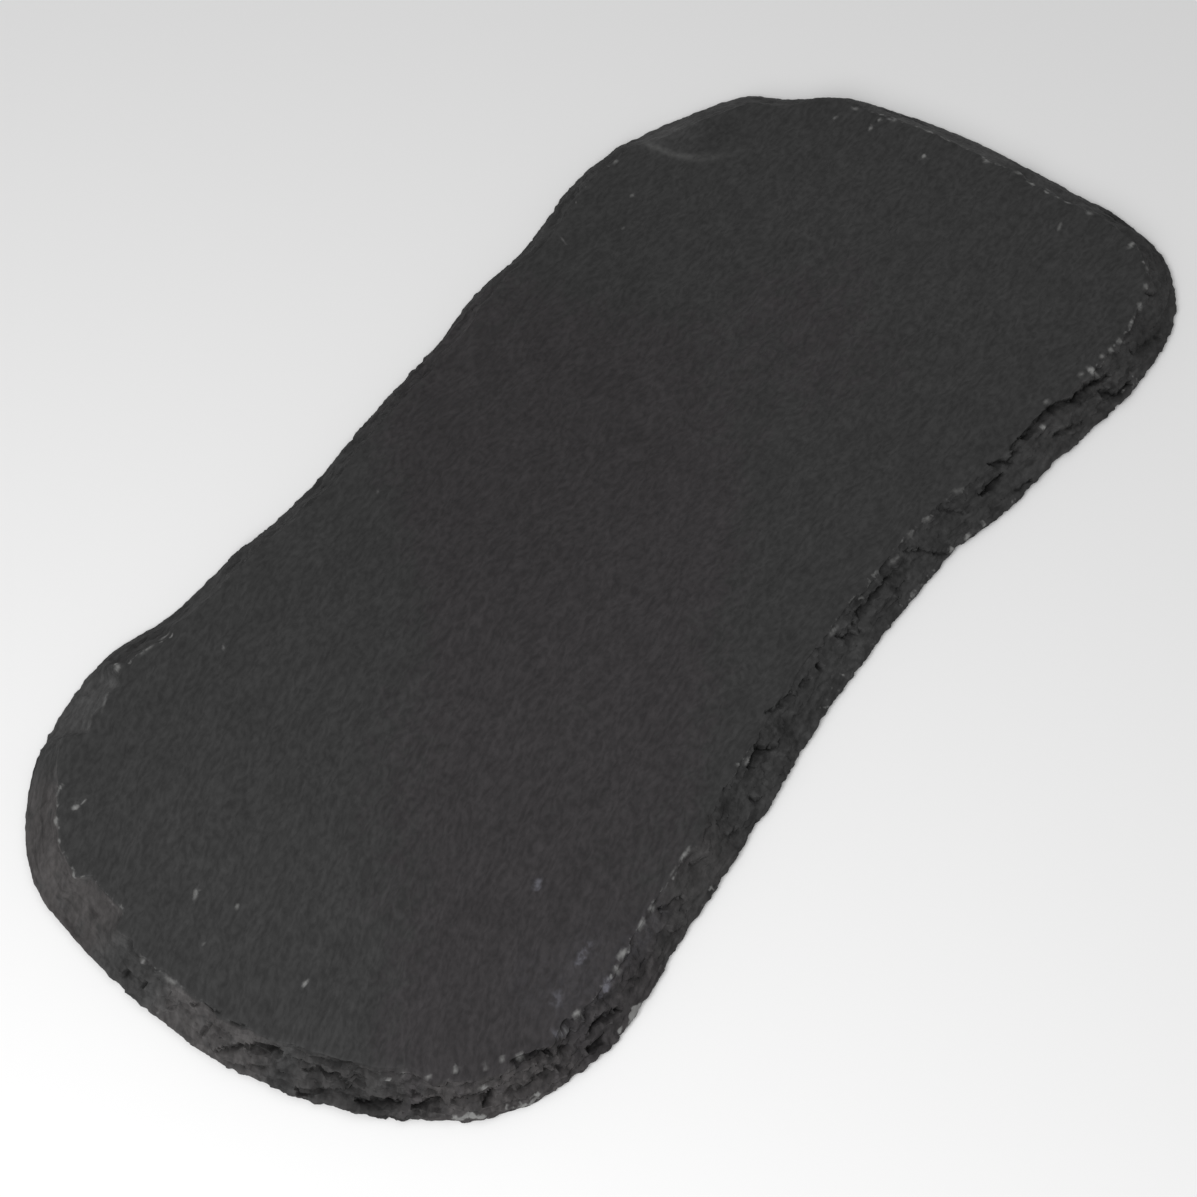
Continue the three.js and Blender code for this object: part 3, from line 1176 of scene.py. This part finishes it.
    def _face_mesh(
        self, ring: np.ndarray, face: Face, ring_index: np.ndarray, first: int
    ) -> tuple[np.ndarray, list[tuple[int, ...]]]:
        """Fills the ring of a face with triangles.

        Args:
            ring: The ring's points in plan.
            face: Which face it is.
            ring_index: The numbers of the ring's points in the whole mesh.
            first: The number of the first point that this face adds.

        Returns:
            The added points, and the triangles as numbers of points, facing out.
        """
        seeds = self._seeds(ring, face)
        heights = self.relief.heights(seeds, face)
        if face is Face.TOP:
            heights = heights + self.thickness
        flat = [Vector(spot) for spot in np.vstack([ring, seeds])]
        count = len(ring)
        border = [(i, (i + 1) % count) for i in range(count)]
        found = delaunay_2d_cdt(flat, border, [], TRIANGLES_ONLY, SAME_PLACE, True)
        origin = np.array([ids[0] for ids in found[3]])
        corners = origin[np.array(found[2])]
        middles = np.vstack([ring, seeds])[corners].mean(axis=1)
        kept = corners.max(axis=1) >= count
        kept[~kept] = self._enclosed(middles[~kept], ring)
        numbers = np.concatenate([ring_index, first + np.arange(len(seeds))])
        triangles = [tuple(map(int, triangle)) for triangle in numbers[corners[kept]]]
        if face is Face.BASE:
            triangles = [triangle[::-1] for triangle in triangles]
        return np.column_stack([seeds, heights]), triangles

    def _object(
        self, points: np.ndarray, faces: list[tuple[int, ...]], edge: DressedEdge, rows: int
    ) -> bpy.types.Object:
        """Makes the mesh and its object.

        Args:
            points: All points, in millimetres.
            faces: All faces.
            edge: The dressed edge, for what the finish reads from it.
            rows: How many rows the edge has.

        Returns:
            The object.
        """
        mesh = bpy.data.meshes.new(self.name)
        mesh.from_pydata(points * MM, [], faces)
        mesh.validate()
        mesh.shade_smooth()
        mesh.set_sharp_from_angle(angle=math.radians(self.crease))
        for name, values in self._values(points, edge, rows).items():
            layer = mesh.attributes.new(name, "FLOAT", "POINT")
            layer.data.foreach_set("value", values.astype(np.float32))
        piece = bpy.data.objects.new(self.name, mesh)
        bpy.context.scene.collection.objects.link(piece)
        return piece

    def _values(self, points: np.ndarray, edge: DressedEdge, rows: int) -> dict[str, np.ndarray]:
        """Works out what the finish reads at each point.

        Args:
            points: All points, the edge's first.
            edge: The dressed edge.
            rows: How many rows it has.

        Returns:
            By name: broken, 1 on the edge; rugged, how rough it is; tone, each scar's own shade plus the
            stretches' paler or darker shade, partly painted light and shade; fresh, where the break is warm;
            hollow, painted shade inside crevices and between sunken blocks; crushed, where borders are
            crushed;
            pale, flecks; chalk, smears; plum, where the stone is purple; shade, how much paler or darker it
            is, partly painted light and shade across the faces.
        """
        total, band = len(points), self.stations * rows
        plan = points[:, :2]
        found = {name: np.zeros(total) for name in ("broken", "rugged", "tone", "fresh", "hollow", "crushed")}
        found["broken"][:band] = np.tile(edge.broken_rows(), self.stations)
        found["rugged"][:band] = found["broken"][:band] * np.repeat(edge.stepping, rows)
        found["fresh"][:band] = found["broken"][:band] * np.repeat(edge.fresh, rows)
        low = len(edge.under_rows)
        spread = np.zeros((self.stations, rows))
        spread[:, low : low + edge.rows] = edge.scar_tones_and_painted_light
        found["tone"][:band] = spread.ravel()
        found["hollow"][:band] = edge.painted_shade_in_hollows
        found["crushed"][:band] = self._crushed(edge, rows, points[:band]).ravel()
        shares = [smooth_step(stain.shares(plan), *SOFT_EDGE) for stain in STAINS]
        found["plum"] = sum(stain.plum * share for stain, share in zip(STAINS, shares))
        found["shade"] = sum(stain.tone_and_painted_light * share for stain, share in zip(STAINS, shares))
        found["chalk"] = sum(stain.chalk * share for stain, share in zip(STAINS, shares))
        top = points[:, 2] > self.top_from * self.thickness
        found["pale"] = self.scar_pale * self.relief.scar.ridge(plan) * top
        for mark in MARKS:
            near = np.flatnonzero(top & (np.abs(plan - mark.at).max(axis=1) < mark.long))
            sway = self.mark_sway * rough_field(plan[near], self.mark_cell, Slice.MARKS, 2)
            shown = smooth_step(mark.shares(plan[near]) + sway, *SOFT_EDGE)
            amount = min(1.0, self.mark_gain * mark.strength) * shown
            target = found["chalk" if mark.chalky else "pale"]
            target[near] = np.maximum(target[near], amount)
        return found

    def _crushed(self, edge: DressedEdge, rows: int, points: np.ndarray) -> np.ndarray:
        """Works out how crushed the edge's borders are.

        Args:
            edge: The dressed edge.
            rows: How many rows it has.
            points: The edge's points.

        Returns:
            A strength for each station and row.
        """
        last = len(edge.under_rows) + edge.rows - 1
        below = np.clip(last - np.arange(rows), 0, None) * self.thickness / edge.rows
        over = np.zeros(rows)
        over[last:] = edge.over_rows
        border = np.exp(-((below / self.crushed_down) ** 2) - (over / self.crushed_in) ** 2)
        height = (np.arange(rows) - len(edge.under_rows)) * self.thickness / edge.rows
        feather = np.exp(-(((height - self.feather_height) / self.feather_spread) ** 2))
        ragged = np.clip(0.9 + 1.3 * rough_field(points, self.feather_cell, Slice.FEATHERS, 2), 0.0, 1.15)
        runs = self._runs(BRUISES)[:, None] * border[None, :]
        low_runs = self._runs(FEATHERS)[:, None] * feather[None, :]
        return runs + low_runs * ragged.reshape(self.stations, rows)

    def _runs(self, bruises: tuple[Bruise, ...]) -> np.ndarray:
        """Grades the stations by the strongest bruise there.

        Args:
            bruises: The bruises to look through.

        Returns:
            A strength for each station.
        """
        return np.max([bruise.strength * bruise.share(self.rim) for bruise in bruises], axis=0)


class Wire:
    """One output of a shader node, with arithmetic that adds Math nodes."""

    def __init__(self, bench: "Bench", socket: bpy.types.NodeSocket) -> None:
        """Holds the output and the bench that adds nodes."""
        self.bench = bench
        self.socket = socket

    def _math(self, operation: str, first: "Wire | float", second: "Wire | float") -> "Wire":
        """Returns the result of one Math node."""
        sockets = {"Value": first, "Value_001": second}
        return self.bench.add("ShaderNodeMath", {"operation": operation}, sockets)

    def __add__(self, other: "Wire | float") -> "Wire":
        """Adds."""
        return self._math("ADD", self, other)

    __radd__ = __add__

    def __sub__(self, other: "Wire | float") -> "Wire":
        """Takes away."""
        return self._math("SUBTRACT", self, other)

    def __rsub__(self, other: "Wire | float") -> "Wire":
        """Is taken away from a number."""
        return self._math("SUBTRACT", other, self)

    def __mul__(self, other: "Wire | float") -> "Wire":
        """Multiplies."""
        return self._math("MULTIPLY", self, other)

    __rmul__ = __mul__


class Bench:
    """Adds nodes to one material."""

    def __init__(self, material: bpy.types.Material) -> None:
        """Empties the material's node tree.

        Args:
            material: The material that nodes are added to.
        """
        material.use_nodes = True
        self.tree = material.node_tree
        self.tree.nodes.clear()

    def node(self, kind: str, settings: dict[str, object], sockets: dict[str, object]) -> bpy.types.Node:
        """Adds one node.

        Args:
            kind: The node's type.
            settings: Its own settings, by name, set first.
            sockets: By identifier, each input's value or the wire that feeds it.

        Returns:
            The node.
        """
        made = self.tree.nodes.new(kind)
        for name, value in settings.items():
            setattr(made, name, value)
        for name, value in sockets.items():
            socket = next(item for item in made.inputs if item.identifier == name)
            if isinstance(value, Wire):
                self.tree.links.new(value.socket, socket)
            else:
                socket.default_value = value
        return made

    def add(
        self, kind: str, settings: dict[str, object], sockets: dict[str, object], output: str = ""
    ) -> Wire:
        """Adds one node and gives back a wire from it.

        Args:
            kind: The node's type.
            settings: Its own settings.
            sockets: Its inputs' values or wires.
            output: The identifier of the output wanted, or nothing for the first.

        Returns:
            The wire from that output.
        """
        made = self.node(kind, settings, sockets)
        found = [item for item in made.outputs if item.identifier == output] or [made.outputs[0]]
        return Wire(self, found[0])

    def mixed(self, factor: "Wire | float", first: object, second: object) -> Wire:
        """Returns one colour turned into another by a factor."""
        sockets = {"Factor_Float": factor, "A_Color": first, "B_Color": second}
        return self.add("ShaderNodeMix", {"data_type": "RGBA"}, sockets, "Result_Color")

    def graded(self, value: Wire, low: float, high: float, start: float = 0.0, end: float = 1.0) -> Wire:
        """Returns a value taken smoothly from one range to another, and held at its ends."""
        sockets = {"Value": value, "From Min": low, "From Max": high, "To Min": start, "To Max": end}
        return self.add("ShaderNodeMapRange", {"interpolation_type": "SMOOTHSTEP"}, sockets)

    def stored(self, name: str) -> Wire:
        """Returns a value that is stored on the mesh's points."""
        return self.add("ShaderNodeAttribute", {"attribute_name": name}, {}, "Fac")

    def scaled(self, vector: Wire, factors: "Wire | tuple[float, float, float]") -> Wire:
        """Returns a vector with each part multiplied."""
        sockets = {"Vector": vector, "Vector_001": factors}
        return self.add("ShaderNodeVectorMath", {"operation": "MULTIPLY"}, sockets)

    def swirl(self, places: Wire, detail: float) -> Wire:
        """Returns noise as a vector, each part from 0 to 1, whose lumps are about one unit across."""
        sockets = {"Vector": places, "Scale": 1.0, "Detail": detail}
        return self.add("ShaderNodeTexNoise", {}, sockets, "Color")

    def moved(self, vector: Wire, by: Wire) -> Wire:
        """Returns the sum of two vectors."""
        return self.add("ShaderNodeVectorMath", {"operation": "ADD"}, {"Vector": vector, "Vector_001": by})

    def cloud(self, places: Wire, detail: float, roughness: float = 0.5) -> Wire:
        """Returns noise from 0 to 1 whose lumps are about one unit across."""
        sockets = {"Vector": places, "Scale": 1.0, "Detail": detail, "Roughness": roughness}
        return self.add("ShaderNodeTexNoise", {"noise_dimensions": "3D"}, sockets)


@dataclass(frozen=True)
class SlateFinish:
    """Matt riven slate: dark grey, a little purple in places, paler where it is broken."""

    grey: Colour = (0.0283, 0.0283, 0.0283, 1.0)
    plum: Colour = (0.0292, 0.0270, 0.0282, 1.0)
    broken: Colour = (0.0395, 0.0368, 0.0365, 1.0)
    crushed: Colour = (0.16, 0.16, 0.157, 1.0)
    fleck: Colour = (0.25, 0.25, 0.245, 1.0)
    chalk: Colour = (0.15, 0.15, 0.175, 1.0)
    roughness: float = 0.66
    specular: float = 0.2
    grain_long: float = 2.2
    grain_wide: float = 1.05
    grain_height: float = 0.03
    broken_height: float = 0.11
    # How far the painted shade darkens the crevices and sunken blocks.
    painted_hollow_shade_strength: float = 0.68
    bump: float = 1.0
    fan: float = RivenRelief.fan

    def material(self) -> bpy.types.Material:
        """Builds the finish.

        Returns:
            The material.
        """
        made = bpy.data.materials.new("riven_slate")
        bench = Bench(made)
        places = self._places(bench)
        grain = self._grain(bench, places)
        broken = bench.stored("broken")
        colour = self._colour(bench, places, grain, broken)
        height = self._height(bench, places, grain, broken)
        bump = bench.add("ShaderNodeBump", {}, {"Strength": self.bump, "Distance": MM, "Height": height})
        patches = bench.cloud(bench.scaled(places, (0.16, 0.3, 0.3)), 3.0)
        roughness = bench.graded(patches, 0.3, 0.7, self.roughness - 0.05, self.roughness + 0.06)
        shader = {
            "Base Color": colour,
            "Roughness": roughness + 0.06 * broken,
            "Specular IOR Level": self.specular,
            "Normal": bump,
        }
        surface = bench.add("ShaderNodeBsdfPrincipled", {}, shader)
        bench.node("ShaderNodeOutputMaterial", {}, {"Surface": surface})
        return made

    def _places(self, bench: Bench) -> Wire:
        """Finds each point's place, bent so that the grain runs along X.

        Args:
            bench: Where nodes are added.

        Returns:
            The place in millimetres.
        """
        place = bench.add("ShaderNodeTexCoord", {}, {}, "Object")
        place = bench.scaled(place, (1.0 / MM, 1.0 / MM, 1.0 / MM))
        split = bench.node("ShaderNodeSeparateXYZ", {}, {"Vector": place})
        x, y, z = (Wire(bench, split.outputs[i]) for i in range(3))
        left = bench.add("ShaderNodeMath", {"operation": "MINIMUM"}, {"Value": x, "Value_001": 0.0})
        parts = {"X": x, "Y": y + left * left * self.fan, "Z": z}
        return bench.add("ShaderNodeCombineXYZ", {}, parts)

    def _grain(self, bench: Bench, places: Wire) -> Wire:
        """Makes the fine wavy grain.

        Args:
            bench: Where nodes are added.
            places: Each point's place.

        Returns:
            The grain, from 0 to 1.
        """
        drift = bench.swirl(bench.scaled(places, (0.05, 0.09, 0.09)), 2.0)
        wavy = bench.moved(places, bench.scaled(drift, (9.0, 4.5, 0.0)))
        wrinkle = bench.swirl(bench.scaled(places, (0.28, 0.45, 0.45)), 1.0)
        wavy = bench.moved(wavy, bench.scaled(wrinkle, (0.0, 1.6, 0.0)))
        stretched = bench.scaled(wavy, (1.0 / self.grain_long, 1.0 / self.grain_wide, 1.0))
        return 0.75 * bench.cloud(stretched, 2.0, 0.5) + 0.25 * bench.cloud(places, 2.0)

    def _strata(self, bench: Bench, places: Wire) -> Wire:
        """Returns the thin cleavage layers that show along the broken edge, from 0 to 1."""
        return bench.cloud(bench.scaled(places, (0.13, 0.16, 1.5)), 4.0, 0.6)

    def _colour(self, bench: Bench, places: Wire, grain: Wire, broken: Wire) -> Wire:
        """Mixes the stone's colour.

        Args:
            bench: Where nodes are added.
            places: Each point's place.
            grain: The fine grain.
            broken: 1 on the dressed edge.

        Returns:
            The colour.
        """
        # Grey stone, purple in broad patches, and warmer where the break is fresh.
        clouds = bench.cloud(bench.scaled(places, (0.022, 0.035, 0.035)), 3.0, 0.55)
        specks = bench.cloud(bench.scaled(places, (0.25, 0.3, 0.3)), 3.0, 0.6)
        patches = bench.stored("plum") * 0.6 + clouds * 0.5 + specks * 0.6
        colour = bench.mixed(bench.graded(patches, 0.76, 1.06), self.grey, self.plum)
        flakes = bench.cloud(bench.scaled(places, (0.3, 0.3, 0.3)), 3.0)
        fresh = bench.stored("fresh") * bench.graded(flakes, 0.2, 0.5)
        colour = bench.mixed(fresh, colour, self.broken)
        # How bright it is: cleavage lines, each scar's own shade, small chips and grain, with painted light
        # and shade along some stretches of the edge, on the chips and in the crevices and sunken blocks.
        lines = bench.graded(self._strata(bench, places), 0.33, 0.52, 0.66, 1.06)
        # The stored tone and shade carry painted light and shade as well as the stone's own tone.
        bright = 1.0 + broken * (bench.stored("tone") * 0.2 + lines - 1.0) + bench.stored("shade")
        # Painted light and shade: each small chip takes a random tone that stands in for how it faces the
        # light.
        torn = bench.scaled(bench.swirl(bench.scaled(places, (0.7, 0.7, 0.9)), 3.0), (1.6, 1.6, 1.6))
        sockets = {"Vector": bench.moved(bench.scaled(places, (0.5, 0.5, 1.0)), torn), "Scale": 1.0}
        chips = bench.add("ShaderNodeTexVoronoi", {}, sockets, "Color")
        bright = bright + bench.stored("rugged") * bench.graded(chips, 0.2, 0.8, -0.26, 0.14)
        shade = bench.graded(grain, 0.25, 0.75, 0.72, 1.32)
        mottle = bench.graded(bench.cloud(bench.scaled(places, (0.12, 0.3, 0.3)), 4.0), 0.3, 0.7, 0.9, 1.1)
        # Painted shade darkens the crevices and sunken blocks.
        level = shade * mottle * bright * (1.0 - self.painted_hollow_shade_strength * bench.stored("hollow"))
        grey = bench.add("ShaderNodeCombineXYZ", {}, {"X": level, "Y": level, "Z": level})
        colour = bench.scaled(colour, grey)
        # Pale stone on top: chalky smears, crushed crumbs and flecks.
        crumbs = bench.cloud(bench.scaled(places, (0.75, 0.75, 0.75)), 2.0)
        dots = bench.graded(bench.stored("crushed") * 0.9 + (crumbs - 0.5) * 1.3, 0.42, 0.85)
        flecks = bench.stored("pale") * bench.graded(crumbs, 0.3, 0.6, 0.45, 1.0)
        chalk = bench.stored("chalk") * bench.graded(crumbs, 0.35, 0.65, 0.15, 1.0)
        colour = bench.mixed(chalk, colour, self.chalk)
        colour = bench.mixed(dots, colour, self.crushed)
        return bench.mixed(flecks, colour, self.fleck)

    def _height(self, bench: Bench, places: Wire, grain: Wire, broken: Wire) -> Wire:
        """Makes the finest relief.

        Args:
            bench: Where nodes are added.
            places: Each point's place.
            grain: The fine grain.
            broken: 1 on the dressed edge.

        Returns:
            The height in millimetres.
        """
        lumps = bench.cloud(bench.scaled(places, (1.1, 1.1, 1.8)), 5.0, 0.6) + self._strata(bench, places)
        riven = (1.0 - broken) * grain * self.grain_height * 2.0
        return riven + broken * lumps * self.broken_height


@dataclass(frozen=True)
class Lamp:
    """One soft light."""

    name: str
    at: tuple[float, float, float]
    size: float
    power: float


@dataclass(frozen=True)
class Studio:
    """A plain pale floor, soft lights and the camera. Lengths are metres here."""

    azimuth: float = -55.15
    elevation: float = 51.94
    distance: float = 0.6176
    aim: tuple[float, float, float] = (-0.01692, -0.00549, 0.0)
    lens: float = 87.0
    sensor: float = 36.0
    clip: tuple[float, float] = (0.01, 50.0)
    floor_sides: int = 64
    floor_reach: float = 6.0
    floor_grey: float = 0.82
    floor_roughness: float = 0.9
    sky: float = 0.5
    lamps: tuple[Lamp, ...] = (Lamp("key_light", (-0.62, -0.14, 0.50), 0.5, 5.6),)

    def build(self) -> None:
        """Makes the floor, the lights, the sky and the camera."""
        self._floor()
        self._sky()
        for lamp in self.lamps:
            self._light(lamp)
        self._camera()
        bpy.context.scene.view_settings.view_transform = "Standard"

    def _floor(self) -> None:
        """Lays a round pale floor."""
        turns = [2.0 * math.pi * i / self.floor_sides for i in range(self.floor_sides)]
        ring = [(self.floor_reach * math.cos(a), self.floor_reach * math.sin(a), 0.0) for a in turns]
        mesh = bpy.data.meshes.new("floor")
        mesh.from_pydata(ring, [], [tuple(range(self.floor_sides))])
        floor = bpy.data.objects.new("floor", mesh)
        bpy.context.scene.collection.objects.link(floor)
        paper = bpy.data.materials.new("floor_paper")
        bench = Bench(paper)
        grey = (self.floor_grey, self.floor_grey, self.floor_grey, 1.0)
        sockets = {"Base Color": grey, "Roughness": self.floor_roughness}
        surface = bench.add("ShaderNodeBsdfPrincipled", {}, sockets)
        bench.node("ShaderNodeOutputMaterial", {}, {"Surface": surface})
        mesh.materials.append(paper)

    def _sky(self) -> None:
        """Gives the room an even soft light."""
        world = bpy.data.worlds.new("room")
        world.use_nodes = True
        background = world.node_tree.nodes["Background"]
        background.inputs["Color"].default_value = (1.0, 1.0, 1.0, 1.0)
        background.inputs["Strength"].default_value = self.sky
        bpy.context.scene.world = world

    def _light(self, lamp: Lamp) -> None:
        """Hangs one light, turned to the slab.

        Args:
            lamp: The light's name, place, size and power.
        """
        data = bpy.data.lights.new(lamp.name, "AREA")
        data.size = lamp.size
        data.energy = lamp.power
        light = bpy.data.objects.new(lamp.name, data)
        light.location = lamp.at
        light.rotation_euler = (-Vector(lamp.at)).to_track_quat("-Z", "Y").to_euler()
        bpy.context.scene.collection.objects.link(light)

    def _camera(self) -> None:
        """Sets the camera at its viewing angle."""
        turn = math.radians(self.azimuth)
        rise = math.radians(self.elevation)
        back = Vector((math.sin(turn) * math.cos(rise), -math.cos(turn) * math.cos(rise), math.sin(rise)))
        data = bpy.data.cameras.new("camera")
        data.lens = self.lens
        data.sensor_width = self.sensor
        data.clip_start, data.clip_end = self.clip
        camera = bpy.data.objects.new("camera", data)
        camera.location = Vector(self.aim) + back * self.distance
        camera.rotation_euler = (-back).to_track_quat("-Z", "Y").to_euler()
        bpy.context.scene.collection.objects.link(camera)
        bpy.context.scene.camera = camera


def main() -> None:
    """Builds the slab and the studio around it."""
    logging.basicConfig(level=logging.INFO, format="%(name)s: %(message)s")
    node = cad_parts["slate_slab"]
    low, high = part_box("slate_slab")
    piece = SlateSlab(node, (high[2] - low[2]) / MM).build()
    piece.data.materials.append(SlateFinish().material())
    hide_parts("slate_slab")
    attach(piece, "root")
    log.info("%s: %d points, %d faces", piece.name, len(piece.data.vertices), len(piece.data.polygons))
    Studio().build()
    log.info("floor, lights and camera are in place")


if __name__ == "__main__":
    main()
